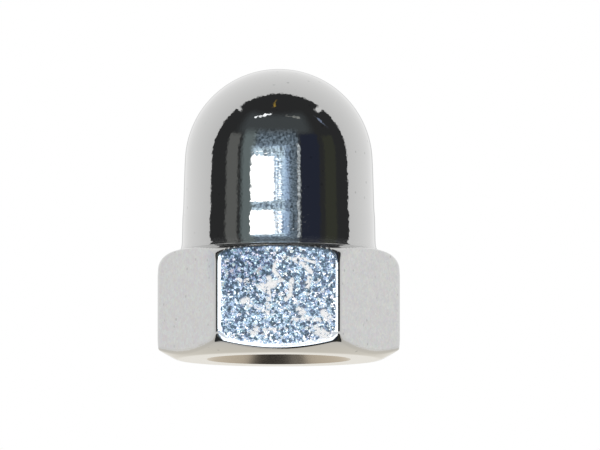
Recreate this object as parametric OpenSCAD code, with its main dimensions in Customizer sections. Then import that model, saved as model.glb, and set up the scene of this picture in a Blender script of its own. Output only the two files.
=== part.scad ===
// Axle cap nut: a hexagon collar, a tapered round neck and a domed closed end, all in one piece.
//
// The axis of the nut is Z. The seat lies on Z = 0 with the origin at its middle, and the dome
// is on top. One flat of the hexagon faces -Y. The blank is turned as one outline, the six
// flats are milled into its collar, and the hole is drilled, countersunk and tapped from the seat.

/* [Hexagon collar] */
// Width across two opposite flats, which is the spanner size
across_flats = 17; // [16.5:0.5:20]
// Height above the seat at which the shoulder would meet the neck with no fillet
collar_h = 9; // [7:0.5:12]
// How far the turned blank cuts back the six upright edges
edge_break = 0.05; // [0.02:0.01:0.2]
// Slope of the shoulder above the flats, from the level
shoulder_slope = 24; // [10:1:30]
// Radius that rolls the shoulder over into the upright edges
shoulder_r = 1.6; // [0.8:0.1:2]
// Diameter of the flat seat
seat_d = 16.8; // [15:0.1:16.9]
// Slope of the chamfer under the flats, from the level
seat_slope = 28; // [15:1:40]

/* [Neck and dome] */
// Overall height, from the seat to the top of the dome
total_h = 23.4; // [21:0.1:30]
// Diameter of the dome
dome_d = 15.1; // [14.5:0.1:15.6]
// Half angle at which the neck widens from the dome down to the collar
neck_taper = 2.1; // [0.5:0.1:2.5]
// Radius of the fillet between the neck and the shoulder
neck_fillet = 0.2; // [0.1:0.05:0.6]

/* [Threaded hole] */
// Outside diameter of the thread
thread_d = 11; // [8:0.5:11.5]
// Pitch of the thread
thread_pitch = 1; // [0.75:0.25:1.25]
// Depth of the drilled hole, from the seat to the start of its cone
bore_depth = 17.5; // [12:0.5:18]
// Angle of the cone that the drill leaves at the end of the hole
drill_angle = 118; // [90:1:140]
// Diameter of the countersink at the seat
countersink_d = 11.6; // [11.6:0.1:13]
// Angle of the countersink, from side to side
countersink_angle = 90; // [60:1:120]

/* [Hidden] */
$fn = 144;
// How far a cutting shape runs past the face that it cuts
past = 1;
// How far a round stretch of the outline laps over the straight ones that it touches, so that
// they join with no gap
lap = 0.0002;

// The thread is cut into a hole of its inside diameter, which for a 60 degree thread is the
// outside diameter less 1.0825 of the pitch.
bore_r = (thread_d - 1.0825 * thread_pitch) / 2;
countersink_r = countersink_d / 2;
countersink_depth = (countersink_r - bore_r) / tan(countersink_angle / 2);
bore_end = bore_depth + bore_r / tan(drill_angle / 2);

// The blank is as wide as the hexagon is across its corners, less the broken edges.
blank_r = across_flats / 2 / cos(30) - edge_break;
chamfer_top = (blank_r - seat_d / 2) * tan(seat_slope);

// The dome is a half sphere, and the neck leaves it along its tangent.
dome_r = dome_d / 2;
dome_centre = [0, total_h - dome_r];
neck_top = dome_centre + dome_r * [cos(neck_taper), sin(neck_taper)];
function neck_r(z) = neck_top.x + (neck_top.y - z) * tan(neck_taper);

// The shoulder falls away from the foot of the neck and rolls over into the edges.
foot_r = neck_r(collar_h);
function shoulder_z(r) = collar_h - (r - foot_r) * tan(shoulder_slope);
roll_r = blank_r - shoulder_r;
roll_centre = [roll_r, shoulder_z(roll_r) - shoulder_r / cos(shoulder_slope)];
roll_top = roll_centre + shoulder_r * [sin(shoulder_slope), cos(shoulder_slope)];

// The fillet touches the shoulder and the neck. Its centre lies on the line that halves the
// angle between them, and its two ends lie the same distance from the foot of the neck.
fillet_turn = 90 - neck_taper - shoulder_slope;
fillet_reach = neck_fillet * tan(fillet_turn / 2);
fillet_low = [foot_r, collar_h] + fillet_reach * [cos(shoulder_slope), -sin(shoulder_slope)];
fillet_high = [foot_r, collar_h] + fillet_reach * [-sin(neck_taper), cos(neck_taper)];
fillet_centre = fillet_high + neck_fillet * [cos(neck_taper), sin(neck_taper)];

// Half of the turned outline, from the seat to the top of the dome. The polygon holds the
// straight stretches, and a disc at each end of them makes the round ones.
module turned_outline()
    difference() {
        union() {
            polygon([
                [0, 0],
                [seat_d / 2, 0],
                [blank_r, chamfer_top],
                [blank_r, roll_centre.y],
                roll_top,
                fillet_low,
                fillet_centre,
                fillet_high,
                neck_top,
                dome_centre
            ]);
            translate(roll_centre) circle(shoulder_r + lap);
            intersection() {
                translate(dome_centre) circle(dome_r + lap);
                square([dome_d, total_h + past]);
            }
        }
        translate(fillet_centre) circle(neck_fillet + lap);
    }

// The drilled and countersunk hole, at the inside diameter of its thread
module hole()
    rotate_extrude()
        polygon([
            [0, -past],
            [countersink_r + past * tan(countersink_angle / 2), -past],
            [bore_r, countersink_depth],
            [bore_r, bore_depth],
            [0, bore_end]
        ]);

// The prism whose sides are the six flats, with one facing -Y
module flats()
    cylinder(d = across_flats / cos(30), h = total_h + past, $fn = 6);

module axle_nut()
    color("silver")
        difference() {
            intersection() {
                rotate_extrude() turned_outline();
                translate([0, 0, -past / 2]) flats();
            }
            hole();
        }

axle_nut();
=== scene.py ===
# %% [markdown]
# # An axle cap nut in bright chrome
#
# The nut is one piece of steel: a hexagon collar, a round neck and a domed end over a blind
# threaded hole. It is plated with chrome, so nearly all of its look is what it mirrors. That
# asks for three things: a mesh whose curves are exact and whose edges are softly polished, a
# plate that is not quite smooth, and a room around the nut that is worth mirroring.

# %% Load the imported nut
import math

import bmesh
import bpy
import numpy as np
from mathutils import Matrix, Vector


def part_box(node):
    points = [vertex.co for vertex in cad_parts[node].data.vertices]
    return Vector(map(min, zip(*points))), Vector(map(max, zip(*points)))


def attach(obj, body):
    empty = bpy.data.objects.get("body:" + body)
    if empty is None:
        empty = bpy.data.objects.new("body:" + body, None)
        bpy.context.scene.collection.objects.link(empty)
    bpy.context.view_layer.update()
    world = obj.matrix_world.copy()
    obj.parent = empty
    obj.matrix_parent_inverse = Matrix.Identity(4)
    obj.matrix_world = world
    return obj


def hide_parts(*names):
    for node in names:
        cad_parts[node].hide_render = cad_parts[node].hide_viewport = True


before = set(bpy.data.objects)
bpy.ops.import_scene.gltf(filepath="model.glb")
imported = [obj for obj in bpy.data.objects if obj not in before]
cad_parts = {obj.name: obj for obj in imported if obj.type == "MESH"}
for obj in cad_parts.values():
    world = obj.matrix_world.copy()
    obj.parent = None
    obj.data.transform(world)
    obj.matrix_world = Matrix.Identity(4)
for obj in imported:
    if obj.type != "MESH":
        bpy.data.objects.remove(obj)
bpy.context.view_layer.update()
low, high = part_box("axle_nut")
print("packed pieces:", len(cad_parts))
print("packed nut:", [round(1000 * v, 2) for v in (*low, *high)], "mm")

# %% [markdown]
# ## Sizes
#
# A nut this small is easiest to think about in millimetres, so the mesh is built in millimetres
# and scaled once at the end. The overall height and the widths of the hexagon come from the
# packed nut. The other sizes are those of a 17 mm axle nut with an M11 x 1 thread. The sloping
# shoulder is given by its height at the foot of the neck.

# %% Name the sizes
MM = 0.001

total_h = high.z / MM
across_flats = (high.y - low.y) / MM
blank_r = high.x / MM

seat_r = 8.4
seat_slope = math.radians(28)
foot_r = 7.80
shoulder_h = 8.82
shoulder_slope = math.radians(17)
roll_r = 1.6
neck_fillet = 0.06

dome_r = 7.55
dome_z = total_h - dome_r

thread_d = 11.0
pitch = 1.0
thread_flank = math.radians(30)
thread_depth = 0.54125 * pitch
bore_r = thread_d / 2 - thread_depth
bore_depth = 17.5
drill_angle = math.radians(118)
mouth_r = 5.8
mouth_depth = mouth_r - bore_r

print("dome centre at", round(dome_z, 2), "mm, bore radius", round(bore_r, 3), "mm")

# %% [markdown]
# ## The camera
#
# The nut is seen from the side and a little from below, so that the open end just shows. A long
# lens far away keeps its sides parallel.

# %% Place the camera
CAMERA_DISTANCE = 1.0
CAMERA_ELEVATION = math.radians(-4.6)
CAMERA_TURN = math.radians(0.4)
CAMERA_CLIP = (0.1, 10.0)
PIXELS_PER_MM = 12.43
PICTURE_WIDTH = 600
SENSOR = 36.0
AIM = Vector((1.71, 0.0, 10.83)) * MM

cam_data = bpy.data.cameras.new("camera")
cam_data.sensor_width = SENSOR
cam_data.lens = SENSOR * CAMERA_DISTANCE / MM * PIXELS_PER_MM / PICTURE_WIDTH
cam_data.clip_start, cam_data.clip_end = CAMERA_CLIP
camera = bpy.data.objects.new("camera", cam_data)
bpy.context.scene.collection.objects.link(camera)
back = Vector((
    math.sin(CAMERA_TURN) * math.cos(CAMERA_ELEVATION),
    -math.cos(CAMERA_TURN) * math.cos(CAMERA_ELEVATION),
    math.sin(CAMERA_ELEVATION),
))
camera.location = AIM + back * CAMERA_DISTANCE
camera.rotation_euler = (-back).to_track_quat("-Z", "Y").to_euler()
bpy.context.scene.camera = camera
bpy.context.scene.view_settings.view_transform = "Standard"
print("lens", round(cam_data.lens), "mm")

# %% [markdown]
# ## The turned outline
#
# On a lathe the nut is one outline turned about its axis: seat, chamfer, the width that the
# hexagon is milled from, shoulder, neck and dome. In Blender that is a chain of edges and one
# spin. Arcs are worked out by a formula, so the number of steps is free.


# %% Helpers for the outline
def arc(centre, radius, start, end, steps):
    """Points (r, z) on an arc, from one angle to another, both ends included."""
    return [
        (
            centre[0] + radius * math.cos(start + (end - start) * i / steps),
            centre[1] + radius * math.sin(start + (end - start) * i / steps),
        )
        for i in range(steps + 1)
    ]


def line(start, end, step):
    """Points between two places, about a step apart, with the start but without the end."""
    count = max(1, round(math.dist(start, end) / step))
    return [
        (
            start[0] + (end[0] - start[0]) * i / count,
            start[1] + (end[1] - start[1]) * i / count,
        )
        for i in range(count)
    ]


# %% [markdown]
# The neck isn't quite a cone. Polishing has left it a little barrelled, with one faint ripple
# round it, a faint break where the dome begins and a soft flare at its foot. A mirror doubles
# every such angle, so these few degrees, far too small to see in the outline, shape what the
# neck shows. The neck is drawn from the dome downwards, in small equal steps that each lean as
# much as the neck does at their height, until the small fillet at its foot takes over.

# %% Work out the neck
LEAN_TOP = math.radians(3.3)
LEAN_HIGH = math.radians(2.0)
LEAN_LOW = math.radians(1.05)
LEAN_FOOT = math.radians(18)
BREAK_Z = 15.55
BREAK_WIDTH = 0.3
FLARE_Z = 9.74
RIPPLE_LEAN = math.radians(4.2)
RIPPLE_Z = 11.77
RIPPLE_WIDTH = 0.36
NECK_STEP = 0.12
FOOT_RISE = 1.2

neck_top = (dome_r * math.cos(LEAN_TOP), dome_z + dome_r * math.sin(LEAN_TOP))
neck_low = shoulder_h + FOOT_RISE * neck_fillet


def lean(z):
    """How far the neck leans in at a height, in radians."""
    if z < FLARE_Z:
        share = (FLARE_Z - z) / (FLARE_Z - neck_low)
        return LEAN_LOW + (LEAN_FOOT - LEAN_LOW) * share**2
    if z > BREAK_Z:
        share = min((z - BREAK_Z) / BREAK_WIDTH, 1)
        return LEAN_HIGH + (LEAN_TOP - LEAN_HIGH) * share * share * (3 - 2 * share)
    barrel = LEAN_LOW + (LEAN_HIGH - LEAN_LOW) * (z - FLARE_Z) / (BREAK_Z - FLARE_Z)
    return barrel + RIPPLE_LEAN * math.exp(-(((z - RIPPLE_Z) / RIPPLE_WIDTH) ** 2))


neck = []
r, z = neck_top
neck_steps = round((neck_top[1] - neck_low) / NECK_STEP)
neck_step = (neck_top[1] - neck_low) / neck_steps
for _ in range(neck_steps):
    r += neck_step * math.tan(lean(z - neck_step / 2))
    z -= neck_step
    neck.insert(0, (r, z))
print("neck radius at its foot:", round(neck[0][0], 3), "mm")


# %% [markdown]
# The shoulder slopes down from the neck and is rolled into the corners of the hexagon by an arc
# that touches both. The fillet at the foot of the neck is a smaller arc of the same kind.

# %% Work out the arcs
ROLL_STEPS = 14
FILLET_STEPS = 5


def shoulder_z(r):
    """Height of the sloping shoulder at a radius."""
    return shoulder_h - (r - foot_r) * math.tan(shoulder_slope)


roll_centre = (
    blank_r - roll_r,
    shoulder_z(blank_r - roll_r) - roll_r / math.cos(shoulder_slope),
)
fillet_r = neck[0][0] + neck_fillet * math.cos(LEAN_FOOT)
fillet_centre = (fillet_r, shoulder_z(fillet_r) + neck_fillet / math.cos(shoulder_slope))
fillet_low = (
    fillet_centre[0] - neck_fillet * math.sin(shoulder_slope),
    fillet_centre[1] - neck_fillet * math.cos(shoulder_slope),
)
roll = arc(roll_centre, roll_r, 0, math.pi / 2 - shoulder_slope, ROLL_STEPS)
fillet = arc(
    fillet_centre, neck_fillet, 1.5 * math.pi - shoulder_slope, math.pi + LEAN_FOOT, FILLET_STEPS
)
print("fillet rises from", round(fillet_low[1], 2), "to", round(fillet[-1][1], 2), "mm")

# %% [markdown]
# The steps are fine wherever the collar gets a polished edge later. They are coarse on the inner
# part of the seat and on the plain band of the flats, between the chamfer and the shoulder.

# %% Draw the outline
FINE = 0.12
COARSE = 0.5
DOME_STEPS = 46
seat_inner = 7.8
band_low = (blank_r, 1.7)
band_high = (blank_r, 6.2)
chamfer_top = (blank_r, (blank_r - seat_r) * math.tan(seat_slope))

outline = line((mouth_r, 0), (seat_inner, 0), COARSE)
outline += line((seat_inner, 0), (seat_r, 0), FINE)
outline += line((seat_r, 0), chamfer_top, FINE)
outline += line(chamfer_top, band_low, FINE)
outline += line(band_low, band_high, COARSE)
outline += line(band_high, roll[0], FINE)
outline += roll[:-1]
outline += line(roll[-1], fillet_low, FINE)
outline += fillet[:-1]
outline += neck
outline += arc((0, dome_z), dome_r, LEAN_TOP, math.pi / 2, DOME_STEPS)
print("outline:", len(outline), "points")

# %% [markdown]
# A nut with six flats is the same six times over, so one sixth is spun and then five copies of
# it are turned into place. That is several times faster than one full spin of so fine a line.

# %% Spin the outline
SIDES = 6
SIXTH = 360 / SIDES
SIXTH_STEPS = 76
WELD = 1e-4


def spun(points, steps, angle=2 * math.pi):
    """A bmesh with a chain of (r, z) points spun round the axis."""
    bm = bmesh.new()
    verts = [bm.verts.new((r, 0, z)) for r, z in points]
    for a, b in zip(verts, verts[1:]):
        bm.edges.new((a, b))
    bmesh.ops.spin(
        bm,
        geom=bm.verts[:] + bm.edges[:],
        cent=(0, 0, 0),
        axis=(0, 0, 1),
        angle=angle,
        steps=steps,
        use_merge=angle == 2 * math.pi,
    )
    return bm


def six_times(bm):
    """Copies a sixth of a turned shape round the axis until it closes."""
    sixth = bm.verts[:] + bm.edges[:] + bm.faces[:]
    for k in range(1, SIDES):
        copy = bmesh.ops.duplicate(bm, geom=sixth)["geom"]
        bmesh.ops.rotate(
            bm,
            verts=[g for g in copy if isinstance(g, bmesh.types.BMVert)],
            cent=(0, 0, 0),
            matrix=Matrix.Rotation(math.radians(SIXTH * k), 3, "Z"),
        )
    bmesh.ops.remove_doubles(bm, verts=bm.verts[:], dist=WELD)
    bmesh.ops.recalc_face_normals(bm, faces=bm.faces[:])


shell = spun(outline, SIXTH_STEPS, math.radians(SIXTH))
six_times(shell)
print("turned shell:", len(shell.verts), "points")

# %% [markdown]
# ## The six flats
#
# The flats are milled and then polished, and polishing rounds every edge and lets the face fall
# away a little beside it. A bevel would have to follow the bow where a flat meets the sloping
# shoulder. Instead, each point of the collar is pressed onto one soft surface: the shoulder, the
# chamfer and the six flats joined by a smooth maximum, which is a sharp corner with its edge
# melted by a chosen width.
#
# A depth is how far a point lies outside a surface, so it is zero on the surface and negative
# inside. The flats face 30, 90, 150 degrees and so on, and the one at -90 is the front.

# %% Melt two surfaces together
EDGE_MELT = 0.085
SHOULDER_MELT = 0.14
CHAMFER_MELT = 0.10
KNOCK_MELT = 0.10
SEAT_MELT = 0.08


def smooth_max(a, b, width):
    """The larger of two depths, melted together where they differ by less than a width."""
    near = np.maximum(width - np.abs(a - b), 0) / width
    return np.maximum(a, b) + near * near * width / 4


print("deepest melt between two flats:", round(EDGE_MELT / 4, 3), "mm")

# %% [markdown]
# The front flat has seen the most work. The roll above it is tighter than elsewhere, and its two
# lower corners are knocked in, each by a plane that leans like a chamfer. Below the roll the
# shoulder's depth falls away gently, so that there only the flats decide.

# %% Describe the shoulder, the chamfer and the knocks
FRONT_TIGHTER = 0.95
BELOW_ROLL = 0.25
CHAMFER_SHIFT = 0.3
CHAMFER_R = 8.25
KNOCK_R = 9.19
KNOCK_SLOPE = math.radians(22)
KNOCK_ANGLES = [math.radians(-120), math.radians(-60)]


def shoulder_depth(x, y, z):
    """How far points lie outside the shoulder and the arc that rolls it into the edges."""
    r = np.hypot(x, y)
    slope = (r - foot_r) * math.sin(shoulder_slope) + (z - shoulder_h) * math.cos(shoulder_slope)
    radius = roll_r - FRONT_TIGHTER * np.clip(-y / blank_r, 0, 1) ** 2
    dr = r - blank_r + radius
    dz = z - shoulder_z(blank_r - radius) + radius / math.cos(shoulder_slope)
    on_arc = (dz > 0) & (np.arctan2(dr, dz) > shoulder_slope)
    below = (r - blank_r) + BELOW_ROLL * dz
    return np.where(on_arc, np.hypot(dr, dz) - radius, np.where(dz > 0, slope, below))


def chamfer_depth(x, y, z):
    """How far points lie outside the lower chamfer, which was turned a little off centre."""
    r = np.hypot(x, y - CHAMFER_SHIFT)
    return (r - CHAMFER_R) * math.sin(seat_slope) - z * math.cos(seat_slope)


def knock_depth(x, y, z, angle):
    """How far points lie outside the plane that takes off one lower corner."""
    outward = x * math.cos(angle) + y * math.sin(angle) - KNOCK_R
    return outward * math.cos(KNOCK_SLOPE) - z * math.sin(KNOCK_SLOPE)


print("knocked corners:", len(KNOCK_ANGLES))

# %% [markdown]
# Each flat falls away towards its border, where it meets the chamfer or the next flat. The fall
# starts one width inside the border and grows with the square of the distance.

# %% Describe the whole collar
FALL_DEPTH = 0.06
FALL_WIDTH = 0.5
FALL_CORNER = 0.9
FLAT_ANGLES = [math.radians(SIXTH / 2 + SIXTH * k) for k in range(SIDES)]


def collar_depth(points):
    """How far points lie outside the whole polished collar."""
    x, y, z = points.T
    chamfer = chamfer_depth(x, y, z)
    flats = [x * math.cos(a) + y * math.sin(a) - across_flats / 2 for a in FLAT_ANGLES]
    six = None
    for k, flat in enumerate(flats):
        neighbours = np.maximum(flats[k - 1], flats[(k + 1) % SIDES])
        border = smooth_max(chamfer, neighbours, FALL_CORNER) / FALL_WIDTH
        worn = flat + FALL_DEPTH * np.clip(1 + border, 0, 2) ** 2
        six = worn if six is None else smooth_max(six, worn, EDGE_MELT)
    body = smooth_max(six, shoulder_depth(x, y, z), SHOULDER_MELT)
    body = smooth_max(body, chamfer, CHAMFER_MELT)
    for angle in KNOCK_ANGLES:
        body = smooth_max(body, knock_depth(x, y, z, angle), KNOCK_MELT)
    return smooth_max(body, -z, SEAT_MELT)


corner = np.array([[blank_r, 0.0, total_h / 4]])
print("an unpressed corner stands out by", round(float(collar_depth(corner)[0]), 3), "mm")

# %% [markdown]
# A point is pressed by walking it down the slope of the depth, as Newton's method does. The
# slope is measured with three small probes, and a floor under its steepness keeps a point near a
# crease from being thrown far away.

# %% Press the collar
PRESS_ROUNDS = 8
PROBE = 1e-4
LEAST_STEEPNESS = 0.2
NECK_ROOM = 0.2


def press(points, depth):
    """Moves points along the slope of a depth until it is zero."""
    for _ in range(PRESS_ROUNDS):
        here = depth(points)
        slope = np.stack(
            [(depth(points + PROBE * axis) - here) / PROBE for axis in np.eye(3)], axis=1
        )
        steepness = np.maximum((slope**2).sum(1), LEAST_STEEPNESS)
        points = points - (here / steepness)[:, None] * slope
    return points


def on_collar(place):
    """Whether a point of the blank belongs to the collar, clear of the neck and the mouth."""
    r = math.hypot(place.x, place.y)
    on_seat = abs(place.z) < WELD and r > seat_inner + WELD
    return on_seat or r > foot_r + NECK_ROOM


collar = [v for v in shell.verts if on_collar(v.co)]
pressed = press(np.array([v.co[:] for v in collar]), collar_depth)
for vert, place in zip(collar, pressed):
    vert.co = place
print("collar points pressed:", len(collar), "half width", round(pressed[:, 0].max(), 3), "mm")

# %% [markdown]
# ## The threaded hole
#
# The hole is drilled, countersunk and tapped. The drilled hole is one more spin. A tap cuts a
# groove that climbs one pitch for each turn, which is a spin with a step along the axis. The
# groove is joined to the hole while both are still the shape of the empty space.

# %% Drill the hole
HOLE_STEPS = 72
WALL_STEP = 1.5
BELOW_SEAT = 1.0
FINE_WELD = 1e-5

drill_tip = bore_depth + bore_r / math.tan(drill_angle / 2)
hole_outline = [(0, -BELOW_SEAT), (mouth_r + BELOW_SEAT, -BELOW_SEAT), (mouth_r, 0)]
hole_outline += line((bore_r, mouth_depth), (bore_r, bore_depth), WALL_STEP)
hole_outline += [(bore_r, bore_depth), (0, drill_tip)]
hole = spun(hole_outline, HOLE_STEPS)
bmesh.ops.remove_doubles(hole, verts=hole.verts[:], dist=FINE_WELD)
bmesh.ops.recalc_face_normals(hole, faces=hole.faces[:])
print("drilled to", round(drill_tip, 2), "mm")

# %% [markdown]
# One tooth of the tap is a four-sided face: wide where it leaves the hole and an eighth of the
# pitch wide at its tip. It starts a little inside the hole, so that the two shapes overlap.

# %% Sweep the tap
TAP_START = 1.35
TAP_TURNS = 14
TOOTH_OVERLAP = 0.1


def tap():
    """The solid that the tap's teeth sweep: a ridge wound up the hole."""
    tooth_root = bore_r - TOOTH_OVERLAP
    half_root = 3 / 8 * pitch + TOOTH_OVERLAP * math.tan(thread_flank)
    half_tip = pitch / 16
    bm = bmesh.new()
    corners = [
        (tooth_root, TAP_START - half_root),
        (thread_d / 2, TAP_START - half_tip),
        (thread_d / 2, TAP_START + half_tip),
        (tooth_root, TAP_START + half_root),
    ]
    tooth = bm.faces.new([bm.verts.new((r, 0, z)) for r, z in corners])
    bmesh.ops.spin(
        bm,
        geom=[tooth],
        cent=(0, 0, 0),
        axis=(0, 0, 1),
        dvec=(0, 0, pitch / HOLE_STEPS),
        angle=2 * math.pi * TAP_TURNS,
        steps=TAP_TURNS * HOLE_STEPS,
    )
    bmesh.ops.recalc_face_normals(bm, faces=bm.faces[:])
    return bm


def as_object(name, bm):
    """A new object that holds a bmesh."""
    mesh = bpy.data.meshes.new(name)
    bm.to_mesh(mesh)
    bm.free()
    obj = bpy.data.objects.new(name, mesh)
    bpy.context.scene.collection.objects.link(obj)
    return obj


def joined(base, tool):
    """The union of two objects as a bmesh; both objects are removed."""
    union = base.modifiers.new("union", "BOOLEAN")
    union.operation = "UNION"
    union.solver = "EXACT"
    union.object = tool
    bm = bmesh.new()
    bm.from_object(base, bpy.context.evaluated_depsgraph_get())
    bpy.data.objects.remove(base)
    bpy.data.objects.remove(tool)
    return bm


tapped = joined(as_object("hole", hole), as_object("tap", tap()))
print("tapped hole:", len(tapped.faces), "faces")

# %% [markdown]
# Cut off level with the seat and with its faces turned over, the empty space becomes the wall of
# the hole. A flat ring joins it to the shell.

# %% Turn the empty space into a wall
bmesh.ops.bisect_plane(
    tapped,
    geom=tapped.verts[:] + tapped.edges[:] + tapped.faces[:],
    plane_co=(0, 0, 0),
    plane_no=(0, 0, -1),
    clear_outer=True,
    dist=FINE_WELD,
)
bmesh.ops.reverse_faces(tapped, faces=tapped.faces[:])
print("open edges at the mouth:", sum(e.is_boundary for e in tapped.edges))

# %% Join the hole to the shell
HOLE_SLOT = 1
SHARP = math.radians(25)


def join_at_mouth(shell, wall):
    """Adds the wall of the hole to the outer shell and closes the ring between them."""
    for face in wall.faces:
        face.material_index = HOLE_SLOT
    spare = bpy.data.meshes.new("hole wall")
    wall.to_mesh(spare)
    wall.free()
    shell.from_mesh(spare)
    bpy.data.meshes.remove(spare)
    mouth = [e for e in shell.edges if e.is_boundary]
    bmesh.ops.bridge_loops(shell, edges=mouth)


join_at_mouth(shell, tapped)
print("still open:", sum(e.is_boundary for e in shell.edges))
bmesh.ops.scale(shell, vec=(MM, MM, MM), verts=shell.verts)
for face in shell.faces:
    face.smooth = True
for edge in shell.edges:
    edge.smooth = edge.calc_face_angle(0) < SHARP
nut = as_object("cap_nut", shell)
print("nut:", len(nut.data.polygons), "faces")

# %% [markdown]
# ## Helpers for materials
#
# A material is a net of small nodes. One helper adds a node and wires its inputs, and a few more
# name the sums that come back most often. Another makes a node group, which is an effect with
# named inputs and outputs.


# %% Add a node
def add(tree, kind, inputs=None, **settings):
    """Adds a shader node. Inputs are values or sockets, by the input's name or number."""
    node = tree.nodes.new("ShaderNode" + kind)
    for name, value in settings.items():
        setattr(node, name, value)
    for key, value in (inputs or {}).items():
        if isinstance(value, bpy.types.NodeSocket):
            tree.links.new(value, node.inputs[key])
        else:
            node.inputs[key].default_value = value
    return node


def calc(tree, operation, *values):
    """The result of a Math node."""
    return add(tree, "Math", dict(enumerate(values)), operation=operation).outputs[0]


def vector(tree, operation, *values, output="Vector"):
    """The result of a Vector Math node; lengths and products are in its output called Value."""
    return add(tree, "VectorMath", dict(enumerate(values)), operation=operation).outputs[output]


def scaled(tree, value, factor):
    """A vector or a colour times a number."""
    return add(tree, "VectorMath", {0: value, "Scale": factor}, operation="SCALE").outputs[0]


def ease(tree, value, start, end, low=0.0, high=1.0):
    """Goes smoothly from low to high while a value goes from start to end."""
    inputs = {"Value": value, "From Min": start, "From Max": end, "To Min": low, "To Max": high}
    return add(tree, "MapRange", inputs, interpolation_type="SMOOTHSTEP").outputs[0]


def mix(tree, mask, under, over):
    """Blends one colour over another by a mask."""
    inputs = {"Factor": mask, "A": under, "B": over}
    return add(tree, "Mix", inputs, data_type="RGBA").outputs["Result"]


def material(name):
    """A new node material, its tree and its Principled shader."""
    made = bpy.data.materials.new(name)
    made.use_nodes = True
    return made, made.node_tree, made.node_tree.nodes["Principled BSDF"]


# %% Make a node group
def new_group(name, inputs, outputs):
    """A shader node group; inputs and outputs are (name, kind of socket) pairs."""
    group = bpy.data.node_groups.new(name, "ShaderNodeTree")
    for in_out, sockets in (("INPUT", inputs), ("OUTPUT", outputs)):
        for socket_name, kind in sockets:
            socket_type = "NodeSocket" + kind
            group.interface.new_socket(name=socket_name, in_out=in_out, socket_type=socket_type)
    entry = group.nodes.new("NodeGroupInput")
    leave = group.nodes.new("NodeGroupOutput")
    return group, entry.outputs, leave.inputs


def use(tree, group, **inputs):
    """Places a node group in a tree; underscores stand for the spaces in its inputs' names."""
    named = {key.replace("_", " "): value for key, value in inputs.items()}
    return add(tree, "Group", named, node_tree=group).outputs


# %% [markdown]
# ## Chrome
#
# Chrome plate copies what lies under it. On the turned neck and dome it is close to a true
# mirror, broken only by grains a fifth of a millimetre wide. On the milled flats the plate is
# full of shallow dimples, and each one is a tiny curved mirror that shows the room again, as a
# spark of light beside a speck of shade.

# %% Dimples
DIMPLE_WOBBLE = 0.4
DIMPLE_BLUR = 0.35


def build_dimples():
    """Height of shallow bowls of one width, wobbled so that no two are alike."""
    group, given, result = new_group(
        "dimples",
        [("Vector", "Vector"), ("Width", "Float"), ("Depth", "Float")],
        [("Height", "Float")],
    )
    scale = calc(group, "DIVIDE", 1.0, given["Width"])
    noise = add(group, "TexNoise", {"Vector": given["Vector"], "Scale": scale, "Detail": 2.0})
    shift = scaled(group, noise.outputs["Color"], DIMPLE_WOBBLE)
    place = vector(group, "ADD", scaled(group, given["Vector"], scale), shift)
    bowls = {"Vector": place, "Scale": 1.0, "Smoothness": DIMPLE_BLUR}
    from_middle = add(group, "TexVoronoi", bowls, feature="SMOOTH_F1").outputs["Distance"]
    bowl = calc(group, "MULTIPLY", from_middle, from_middle)
    group.links.new(calc(group, "MULTIPLY", bowl, given["Depth"]), result["Height"])
    return group


dimples = build_dimples()
print("made group:", dimples.name)

# %% [markdown]
# The flats are told from the rest by how far a point reaches out towards one of them. Where the
# polished edges fall away by about a hundredth of a millimetre, the mask fades out.

# %% Where the flats are
FLAT_FADE = (0.016, 0.004)
FRONT_FADE = (0.03, 0.06)


def build_flat_faces():
    """A mask that is 1 on the six flats and fades out on their edges, and one for the front."""
    group, given, result = new_group(
        "flat faces", [("Vector", "Vector")], [("Mask", "Float"), ("Front", "Float")]
    )
    reach = None
    for angle in FLAT_ANGLES[: SIDES // 2]:
        outward = (math.cos(angle), math.sin(angle), 0)
        dot = vector(group, "DOT_PRODUCT", given["Vector"], outward, output="Value")
        side = calc(group, "ABSOLUTE", dot)
        reach = side if reach is None else calc(group, "MAXIMUM", reach, side)
    half = across_flats / 2 * MM
    mask = ease(group, reach, *(half - depth * MM for depth in FLAT_FADE))
    group.links.new(mask, result["Mask"])
    y = add(group, "SeparateXYZ", {0: given["Vector"]}).outputs["Y"]
    front = ease(group, y, *(depth * MM - half for depth in FRONT_FADE), 1.0, 0.0)
    group.links.new(front, result["Front"])
    return group


flat_faces = build_flat_faces()
print("made group:", flat_faces.name)

# %% [markdown]
# The plate on the flats also sparkles, as if it were made of tiny facets. Each facet turns the
# mirror a random way and has a breath of colour of its own.

# %% Facets
FACET_BLUR = 0.4
FACET_SPREAD = 0.6


def build_facets():
    """A normal that is tilted at random, facet by facet, and a random tint."""
    group, given, result = new_group(
        "facets",
        [("Vector", "Vector"), ("Width", "Float"), ("Tilt", "Float")],
        [("Normal", "Vector"), ("Tint", "Color")],
    )
    cells = {
        "Vector": given["Vector"],
        "Scale": calc(group, "DIVIDE", 1.0, given["Width"]),
        "Smoothness": FACET_BLUR,
        "Detail": 1.0,
        "Roughness": FACET_SPREAD,
    }
    tint = add(group, "TexVoronoi", cells, feature="SMOOTH_F1").outputs["Color"]
    turn = scaled(group, vector(group, "SUBTRACT", tint, (0.5, 0.5, 0.5)), given["Tilt"])
    normal = add(group, "NewGeometry").outputs["Normal"]
    tilted = vector(group, "NORMALIZE", vector(group, "ADD", normal, turn))
    group.links.new(tilted, result["Normal"])
    group.links.new(tint, result["Tint"])
    return group


facets = build_facets()
print("made group:", facets.name)

# %% [markdown]
# A spanner and years in a box leave marks on the front flat: short strokes where something
# hard has dragged across the plate and left a pale, rough track. Each stroke is a line between
# two points, so one group draws them all.

# %% One stroke
STROKE_FADE = (0.3, 0.85)


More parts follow.
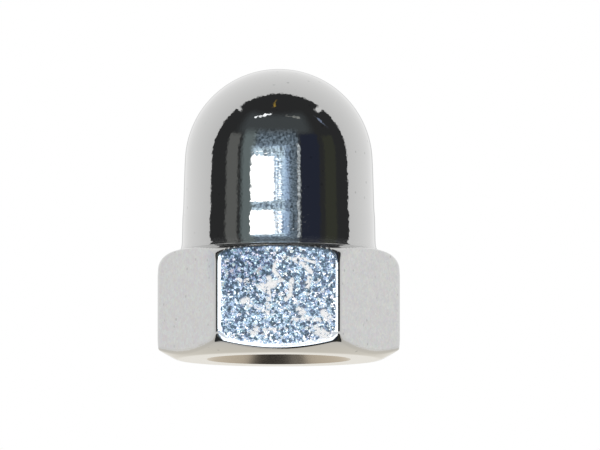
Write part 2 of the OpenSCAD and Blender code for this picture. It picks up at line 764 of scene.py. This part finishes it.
def build_stroke():
    """A mask along the line between two points, fading towards its sides."""
    group, given, result = new_group(
        "stroke",
        [("Vector", "Vector"), ("Start", "Vector"), ("End", "Vector"), ("Width", "Float")],
        [("Mask", "Float")],
    )
    along = vector(group, "SUBTRACT", given["End"], given["Start"])
    away = vector(group, "SUBTRACT", given["Vector"], given["Start"])
    passed = vector(group, "DOT_PRODUCT", along, away, output="Value")
    whole = vector(group, "DOT_PRODUCT", along, along, output="Value")
    share = calc(group, "DIVIDE", passed, whole)
    share = calc(group, "MINIMUM", calc(group, "MAXIMUM", share, 0.0), 1.0)
    gap = vector(group, "DISTANCE", away, scaled(group, along, share), output="Value")
    gap = calc(group, "DIVIDE", gap, given["Width"])
    group.links.new(ease(group, gap, *STROKE_FADE, 1.0, 0.0), result["Mask"])
    return group


stroke = build_stroke()
print("made group:", stroke.name)

# %% Strokes on the front flat
# x and z of both ends and the width, in millimetres
STROKES = [
    (-0.74, 5.00, -0.80, 3.10, 0.26),
    (-0.62, 4.90, -0.66, 4.00, 0.20),
    (-2.35, 3.75, -1.70, 3.62, 0.16),
    (-1.70, 3.62, -1.02, 3.22, 0.22),
    (0.55, 7.62, 1.35, 7.38, 0.22),
    (1.35, 7.38, 2.10, 6.98, 0.30),
    (2.10, 6.98, 2.62, 6.45, 0.34),
    (2.62, 6.45, 2.55, 5.90, 0.34),
    (2.55, 5.90, 2.30, 5.15, 0.36),
    (1.45, 7.62, 2.95, 7.15, 0.20),
    (-0.15, 7.15, -0.30, 6.50, 0.30),
    (-0.30, 6.50, 0.12, 5.95, 0.24),
    (1.12, 5.75, 0.98, 4.90, 0.34),
    (1.00, 4.60, 0.62, 4.20, 0.30),
    (1.20, 2.60, 2.10, 2.72, 0.28),
    (2.10, 2.72, 3.35, 2.55, 0.30),
    (-1.12, 1.80, 0.10, 1.84, 0.18),
    (-3.30, 5.95, -2.85, 5.62, 0.22),
    (-2.85, 5.62, -2.40, 5.80, 0.20),
    (-1.35, 5.20, -0.35, 5.40, 0.50),
    (-0.85, 4.90, -0.72, 5.85, 0.44),
    (-0.40, 5.55, 0.35, 5.75, 0.22),
    (3.65, 3.15, 4.10, 2.75, 0.46),
    (3.10, 1.75, 3.85, 1.35, 0.62),
    (1.70, 3.40, 2.00, 3.15, 0.44),
    (-1.95, 1.55, -1.70, 1.80, 0.44),
    (-2.75, 4.05, -2.45, 4.20, 0.40),
]
FRONT_Y = -across_flats / 2


def stroke_mask(tree, place):
    """All strokes on the front flat as one mask."""
    total = None
    for x0, z0, x1, z1, width in STROKES:
        mask = use(
            tree,
            stroke,
            Vector=place,
            Start=(x0 * MM, FRONT_Y * MM, z0 * MM),
            End=(x1 * MM, FRONT_Y * MM, z1 * MM),
            Width=width * MM,
        )["Mask"]
        total = mask if total is None else calc(tree, "MAXIMUM", total, mask)
    return total


print("strokes:", len(STROKES))

# %% [markdown]
# Now the chrome is put together. Its strokes are broken up by noise, so that they look dragged
# and not drawn.

# %% Start the chrome
STROKE_BREAKS = 0.2
BREAKS_FADE = (0.32, 0.52)

chrome, tree, shader = material("bright chrome")
place = add(tree, "TexCoord").outputs["Object"]
height_z = add(tree, "SeparateXYZ", {0: place}).outputs["Z"]
flats = use(tree, flat_faces, Vector=place)
strokes = calc(tree, "MULTIPLY", stroke_mask(tree, place), flats["Front"])
breaks = {"Vector": place, "Scale": 1 / (STROKE_BREAKS * MM), "Detail": 1.0}
broken = ease(tree, add(tree, "TexNoise", breaks).outputs[0], *BREAKS_FADE)
strokes = calc(tree, "MULTIPLY", strokes, broken)
print("strokes placed with", len(tree.nodes), "nodes")

# %% [markdown]
# The front flat has the roughest plate. The other flats get the same facets and dimples, but
# less than half as strong.

# %% Roughen the flats
SIDE_ROUGHNESS = 0.45
FACET_TILT = 0.21
FACET_WIDTH = 0.23

share = ease(tree, flats["Front"], 0, 1, SIDE_ROUGHNESS, 1.0)
rough_flats = calc(tree, "MULTIPLY", flats["Mask"], share)
tilt = calc(tree, "MULTIPLY", rough_flats, FACET_TILT)
sparkle = use(tree, facets, Vector=place, Width=FACET_WIDTH * MM, Tilt=tilt)
print("facets are", FACET_WIDTH, "mm wide")

# %% [markdown]
# Chrome is nearly grey. Low on the chamfer it is painted a little warmer, a painted reflection of
# the cream paper there. On the front flat it is painted brighter and bluer, a painted reflection of
# the window it faces. Over that flat's upper left corner it is darker and bluer.

# %% Colour the plate
CHROME = (0.62, 0.62, 0.615, 1)
# Painted warm reflection: low on the chamfer the chrome is painted warmer, for the cream paper it
# mirrors.
WARM_REFLECTION_CHROME = (0.68, 0.665, 0.63, 1)
# Painted reflection: the front flat is painted brighter and bluer, for the window and sky in front
# of it.
BLUE_REFLECTION_CHROME = (0.70, 0.76, 0.83, 1)
# Darker and bluer over the upper left corner of the front flat.
CORNER_TINT = (0.36, 0.41, 0.50, 1)
WARM_REFLECTION_BAND = (0.1 * MM, 0.9 * MM)
BLUE_REFLECTION_SHARE = 0.8
CORNER_TINT_AT = (-2.9 * MM, FRONT_Y * MM, 7.4 * MM)
CORNER_TINT_REACH = (1.2 * MM, 3.7 * MM)
CORNER_TINT_SHARE = 0.85
TINT_SHARE = 0.08

# Painted warm reflection, low on the chamfer.
plate = mix(tree, ease(tree, height_z, *WARM_REFLECTION_BAND, 1.0, 0.0), CHROME, WARM_REFLECTION_CHROME)
# Painted reflection: brighter and bluer on the front flat.
plate = mix(tree, calc(tree, "MULTIPLY", flats["Front"], BLUE_REFLECTION_SHARE), plate, BLUE_REFLECTION_CHROME)
# The front flat's upper left corner is made darker and bluer.
corner_tint = vector(tree, "DISTANCE", place, CORNER_TINT_AT, output="Value")
corner_tint = ease(tree, corner_tint, *CORNER_TINT_REACH, CORNER_TINT_SHARE, 0.0)
plate = mix(tree, calc(tree, "MULTIPLY", corner_tint, flats["Mask"]), plate, CORNER_TINT)
plate = mix(tree, calc(tree, "MULTIPLY", rough_flats, TINT_SHARE), plate, sparkle["Tint"])
print("film reaches", round(CORNER_TINT_REACH[1] / MM, 1), "mm")

# %% [markdown]
# Specks of dust sit here and there: about half the cells of a coarse pattern are left empty, and
# the rest have one small round speck in the middle.

# %% Dust the plate
DUST = (0.36, 0.37, 0.36, 1)
SCUFF = (1.0, 1.0, 1.0, 1)
DUST_CELL = 0.9
SPECK_FADE = (0.09, 0.17)
SPECK_SHARE = 0.5
SPECKS_KEPT = (0.45, 0.75)

cells = add(tree, "TexVoronoi", {"Vector": place, "Scale": 1 / (DUST_CELL * MM)}).outputs
speck = ease(tree, cells["Distance"], *SPECK_FADE, SPECK_SHARE, 0.0)
chance = add(tree, "SeparateXYZ", {0: cells["Color"]}).outputs["X"]
specks = calc(tree, "MULTIPLY", speck, ease(tree, chance, *SPECKS_KEPT))
plate = mix(tree, specks, plate, DUST)
tree.links.new(mix(tree, strokes, plate, SCUFF), shader.inputs["Base Color"])
print("dust cells:", DUST_CELL, "mm wide")

# %% [markdown]
# A stroke is bare and rough, so it scatters light like a dull surface. Dirt in the crease at the
# foot of the neck does the same, but only just.

# %% Dull the strokes and the crease
CREASE_LOW = (8.3 * MM, 8.6 * MM)
CREASE_HIGH = (8.9 * MM, 9.5 * MM)
CREASE_SHARE = 0.04
POLISHED = 0.03
SCUFFED = 0.5

crease = ease(tree, height_z, *CREASE_HIGH, CREASE_SHARE, 0.0)
crease = calc(tree, "MULTIPLY", crease, ease(tree, height_z, *CREASE_LOW))
dull = calc(tree, "MAXIMUM", strokes, crease)
tree.links.new(calc(tree, "SUBTRACT", 1.0, dull), shader.inputs["Metallic"])
tree.links.new(ease(tree, strokes, 0, 1, POLISHED, SCUFFED), shader.inputs["Roughness"])
print("roughness from", POLISHED, "to", SCUFFED)

# %% [markdown]
# Shallow waves run over the flats only, and fine grain over the whole plate. Both are the same
# dimples in two sizes, a few thousandths of a millimetre deep.

# %% Ripple the surface
WAVE_WIDTH = 0.5
WAVE_DEPTH = 0.014
GRAIN_WIDTH = 0.20
GRAIN_DEPTH = 0.0021

waves = use(tree, dimples, Vector=place, Width=WAVE_WIDTH * MM, Depth=WAVE_DEPTH * MM)["Height"]
grain = use(tree, dimples, Vector=place, Width=GRAIN_WIDTH * MM, Depth=GRAIN_DEPTH * MM)["Height"]
height = calc(tree, "ADD", calc(tree, "MULTIPLY", waves, rough_flats), grain)
bumps = {"Height": height, "Distance": 1.0, "Strength": 1.0, "Normal": sparkle["Normal"]}
tree.links.new(add(tree, "Bump", bumps).outputs[0], shader.inputs["Normal"])
nut.data.materials.append(chrome)
print("bright chrome:", len(tree.nodes), "nodes")

# %% [markdown]
# The plating bath hardly reaches into a blind hole, so the thread inside is steel, browned by
# old oil.

# %% Oiled thread
THREAD_STEEL = (0.62, 0.55, 0.46, 1)
THREAD_ROUGHNESS = 0.20

thread_steel, tree, shader = material("oiled thread")
shader.inputs["Base Color"].default_value = THREAD_STEEL
shader.inputs["Metallic"].default_value = 1.0
shader.inputs["Roughness"].default_value = THREAD_ROUGHNESS
nut.data.materials.append(thread_steel)
print("materials:", [slot.name for slot in nut.data.materials])

# %% [markdown]
# ## The room
#
# Behind the nut everything is pale paper. In front of it is a dim room with one bright window.
# A mirror shows a room by direction alone, so the room is painted on the world: each board is a
# patch between two compass bearings and two heights above the horizon, with soft edges. The
# camera and dull surfaces see plain white instead.

# %% Bearings
world = bpy.data.worlds.new("room")
bpy.context.scene.world = world
world.use_nodes = True
tree = world.node_tree
background = tree.nodes["Background"]
DEGREES = 180 / math.pi

direction = add(tree, "TexCoord").outputs["Generated"]
x, y, z = add(tree, "SeparateXYZ", {0: direction}).outputs
forward = calc(tree, "MULTIPLY", y, -1.0)
bearing = calc(tree, "MULTIPLY", calc(tree, "ARCTAN2", x, forward), DEGREES)
height_up = calc(tree, "MULTIPLY", calc(tree, "ARCSINE", z), DEGREES)
print("bearing 0 is straight in front of the nut")


# %% One board
def build_board():
    """A mask for a patch of the room, soft at its edges and sloping by a tilt."""
    numbers = ["Bearing", "Up", "Left", "Right", "Bottom", "Top", "Soft Across", "Soft Up", "Tilt"]
    group, given, result = new_group(
        "board", [(name, "Float") for name in numbers], [("Mask", "Float")]
    )
    middle = calc(group, "MULTIPLY", calc(group, "ADD", given["Left"], given["Right"]), 0.5)
    lift = calc(group, "MULTIPLY", calc(group, "SUBTRACT", given["Bearing"], middle), given["Tilt"])
    level = calc(group, "SUBTRACT", given["Up"], lift)

    def inside(value, start, end, soft):
        """A mask between two values, half of its softness inside each end."""
        from_start = calc(group, "DIVIDE", calc(group, "SUBTRACT", value, start), soft)
        from_end = calc(group, "DIVIDE", calc(group, "SUBTRACT", end, value), soft)
        return ease(group, calc(group, "MINIMUM", from_start, from_end), -0.5, 0.5)

    across = inside(given["Bearing"], given["Left"], given["Right"], given["Soft Across"])
    up = inside(level, given["Bottom"], given["Top"], given["Soft Up"])
    group.links.new(calc(group, "MULTIPLY", across, up), result["Mask"])
    return group


board = build_board()


def patch(left, right, bottom, top, soft_across, soft_up, tilt=0):
    """The mask of one patch of the room."""
    edges = {"Left": left, "Right": right, "Bottom": bottom, "Top": top, "Tilt": tilt}
    soft = {"Soft_Across": soft_across, "Soft_Up": soft_up}
    return use(tree, board, Bearing=bearing, Up=height_up, **edges, **soft)["Mask"]


print("made group:", board.name)

# %% Hang the boards
# name, left, right, bottom, top, softness across, softness up, tilt, colour
BOARDS = [
    ("ceiling", -55, 45, 30, 56, 20, 12, 0, (0.075, 0.085, 0.09)),
    ("grey door", -67, -51, -20, 29, 4, 6, 0, (0.15, 0.155, 0.15)),
    ("curtain", -46, -28, -20, 33, 8, 14, 0, (0.18, 0.22, 0.225)),
    ("window wall", -28, 24, -30, 32, 12, 16, 0, (0.16, 0.21, 0.26)),
    ("sky", -28, 11, -12, 15, 14, 8, 0, (0.38, 0.53, 0.77)),
    ("cloud", -32, 8, 8, 15, 8, 5, 0, (0.54, 0.69, 0.80)),
    ("bright sky", -14, -1, 4.5, 10.5, 10, 3, 0, (0.62, 0.84, 1.12)),
    ("navy cupboard", 28, 52, -30, 30, 4, 6, 0, (0.025, 0.03, 0.05)),
    ("olive cupboard", 59, 75, -60, 26, 4, 4, 0, (0.05, 0.053, 0.04)),
    ("door frame", 23.6, 26.6, -20, 19, 2.2, 2, 0, (0.5, 0.55, 0.58)),
    ("white table", 8, 36, -16, 5.3, 3, 0.5, 0, (1.8, 1.85, 1.9)),
    ("sill", -8, 4, 5.2, 7.2, 2, 0.6, 0, (1.6, 1.7, 1.8)),
    ("glazing bar", -8, 3.5, 8.0, 8.6, 1.5, 0.4, 0, (1.4, 1.5, 1.6)),
    ("white bench", -20, 20, -24, -2.0, 6, 3, 0, (1.7, 1.75, 1.8)),
    ("rug", -80, 0, -76, -48, 12, 10, 0, (0.7, 0.7, 0.7)),
    ("left tube lamp", -42, -14, 53.5, 55.5, 3, 1.2, 0.24, (1.7, 1.75, 1.8)),
    ("right tube lamp", 15, 37, 52.0, 53.6, 3, 1.2, -0.19, (0.35, 0.36, 0.34)),
    ("blue shelf", 66, 73, 40.5, 43.5, 3, 3, -1.5, (0.25, 0.3, 0.42)),
    ("brass hook", -15, -9, 68, 78, 3, 4, 0, (0.5, 0.33, 0.06)),
    ("left skylight", -100, -77, 52.5, 55.5, 6, 2, 0, (0.8, 0.8, 0.8)),
    ("right skylight", 76, 100, 50.5, 55.5, 5, 2, 0, (0.85, 0.85, 0.85)),
]
DARK = (0.034, 0.035, 0.036, 1)

seen = DARK
for name, *edges, paint in BOARDS:
    mask = patch(*edges)
    mask.node.label = name
    seen = mix(tree, mask, seen, (*paint, 1))
print("boards in the room:", len(BOARDS))

# %% [markdown]
# Leaves outside dapple everything near the window with small flecks of light and shade.

# %% Dapple the room
FLECK_SCALE = 26.0
FLECK_RANGE = (0.36, 0.64)
FLECK_SHADE = 0.45
FLECK_LIGHT = 1.75

flecks = add(tree, "TexNoise", {"Vector": direction, "Scale": FLECK_SCALE, "Detail": 2.0})
flecks = ease(tree, flecks.outputs[0], *FLECK_RANGE, FLECK_SHADE, FLECK_LIGHT)
near_window = patch(-32, 26, -20, 36, 6, 8)
shade = calc(tree, "MULTIPLY", calc(tree, "SUBTRACT", flecks, 1.0), near_window)
seen = scaled(tree, seen, calc(tree, "ADD", shade, 1.0))
print("flecks from", FLECK_SHADE, "to", FLECK_LIGHT, "times as bright")

# %% [markdown]
# The window itself is one bright pane. Its mask is cut off halfway through a soft edge, which
# rounds its corners.

# %% Cut the window
PANE = (2.6, 2.6, 2.6, 1)

pane = patch(-34, -5.2, 1.5, 10.6, 7, 1.8)
seen = mix(tree, ease(tree, pane, 0.4, 0.6), seen, PANE)
print("window cut")

# %% [markdown]
# The paper fills everything behind the nut. Its edge comes a little further forward overhead
# and on the left. It is brighter towards the back, apart from a dim patch straight behind the
# nut, and cream below the horizon.

# %% Lay the paper behind the nut
PAPER_WHITE = (1.0, 1.0, 1.0, 1)
PAPER_CREAM = (0.82, 0.795, 0.74, 1)
PAPER_LEVEL = 0.80
PAPER_RISE = 0.24
PAPER_DIP = 0.62
DIP_BACK = (0.93, 0.995)
DIP_UP = (-0.05, 0.05)
CREAM_BELOW = (-0.03, -0.07)
OVERHANG_BY_HEIGHT = 0.045
OVERHANG_TO_LEFT = -0.03
PAPER_EDGE = (0.03, 0.06)

rise = calc(tree, "ADD", calc(tree, "MULTIPLY", y, PAPER_RISE), PAPER_LEVEL)
middle = calc(tree, "MULTIPLY", ease(tree, y, *DIP_BACK), ease(tree, z, *DIP_UP))
level = calc(tree, "MULTIPLY", rise, ease(tree, middle, 0, 1, 1.0, PAPER_DIP))
sheet = mix(tree, ease(tree, z, *CREAM_BELOW), PAPER_WHITE, PAPER_CREAM)
overhang = calc(tree, "ADD", y, calc(tree, "MULTIPLY", z, OVERHANG_BY_HEIGHT))
overhang = calc(tree, "ADD", overhang, calc(tree, "MULTIPLY", x, OVERHANG_TO_LEFT))
seen = mix(tree, ease(tree, overhang, *PAPER_EDGE), seen, scaled(tree, sheet, level))
print("paper laid")

# %% Show plain white to the camera and to dull surfaces
WHITE = (1, 1, 1, 1)

path = add(tree, "LightPath").outputs
plain = calc(tree, "MAXIMUM", path["Is Camera Ray"], path["Is Diffuse Ray"])
tree.links.new(mix(tree, plain, seen, WHITE), background.inputs["Color"])
print("room:", len(tree.nodes), "nodes")

# %% [markdown]
# ## The floor
#
# The floor is a wide pale disc just under the seat. The camera looks from a little below it, so
# its underside is clear. The polished metal mirrors it as evenly lit, but not the strip right
# beside the nut, where a real floor lies in the nut's own shadow.

# %% Lay the floor
FLOOR_R = 600.0
FLOOR_GAP = 0.02
FLOOR_SIDES = 96

bm = bmesh.new()
bmesh.ops.create_circle(bm, cap_ends=True, segments=FLOOR_SIDES, radius=FLOOR_R * MM)
bmesh.ops.translate(bm, vec=(0, 0, -FLOOR_GAP * MM), verts=bm.verts)
bm.normal_update()
print("floor faces up:", bm.faces[:][0].normal.z > 0)
floor = as_object("floor", bm)

# %% Paint the floor
FLOOR_WHITE = (0.88, 0.88, 0.88, 1)
FLOOR_SHADOW = (20 * MM, 26 * MM)

pale, tree, shader = material("pale floor")
shader.inputs["Base Color"].default_value = FLOOR_WHITE
shader.inputs["Roughness"].default_value = 1.0
place = add(tree, "TexCoord").outputs["Object"]
far = ease(tree, vector(tree, "LENGTH", place, output="Value"), *FLOOR_SHADOW)
glow = add(tree, "Emission", {"Color": FLOOR_WHITE}).outputs[0]
clear = add(tree, "BsdfTransparent").outputs[0]
mirrored = add(tree, "MixShader", {0: far, 1: clear, 2: glow}).outputs[0]
glossy_ray = add(tree, "LightPath").outputs["Is Glossy Ray"]
above = add(tree, "MixShader", {0: glossy_ray, 1: shader.outputs[0], 2: mirrored}).outputs[0]
underside = add(tree, "NewGeometry").outputs["Backfacing"]
sided = add(tree, "MixShader", {0: underside, 1: above, 2: clear}).outputs[0]
tree.links.new(sided, tree.nodes["Material Output"].inputs["Surface"])
floor.data.materials.append(pale)
print("floor:", round(2 * FLOOR_R), "mm wide")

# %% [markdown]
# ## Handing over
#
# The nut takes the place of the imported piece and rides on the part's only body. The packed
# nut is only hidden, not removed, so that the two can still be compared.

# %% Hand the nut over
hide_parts("axle_nut")
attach(nut, "root")
print("handed over:", nut.name)
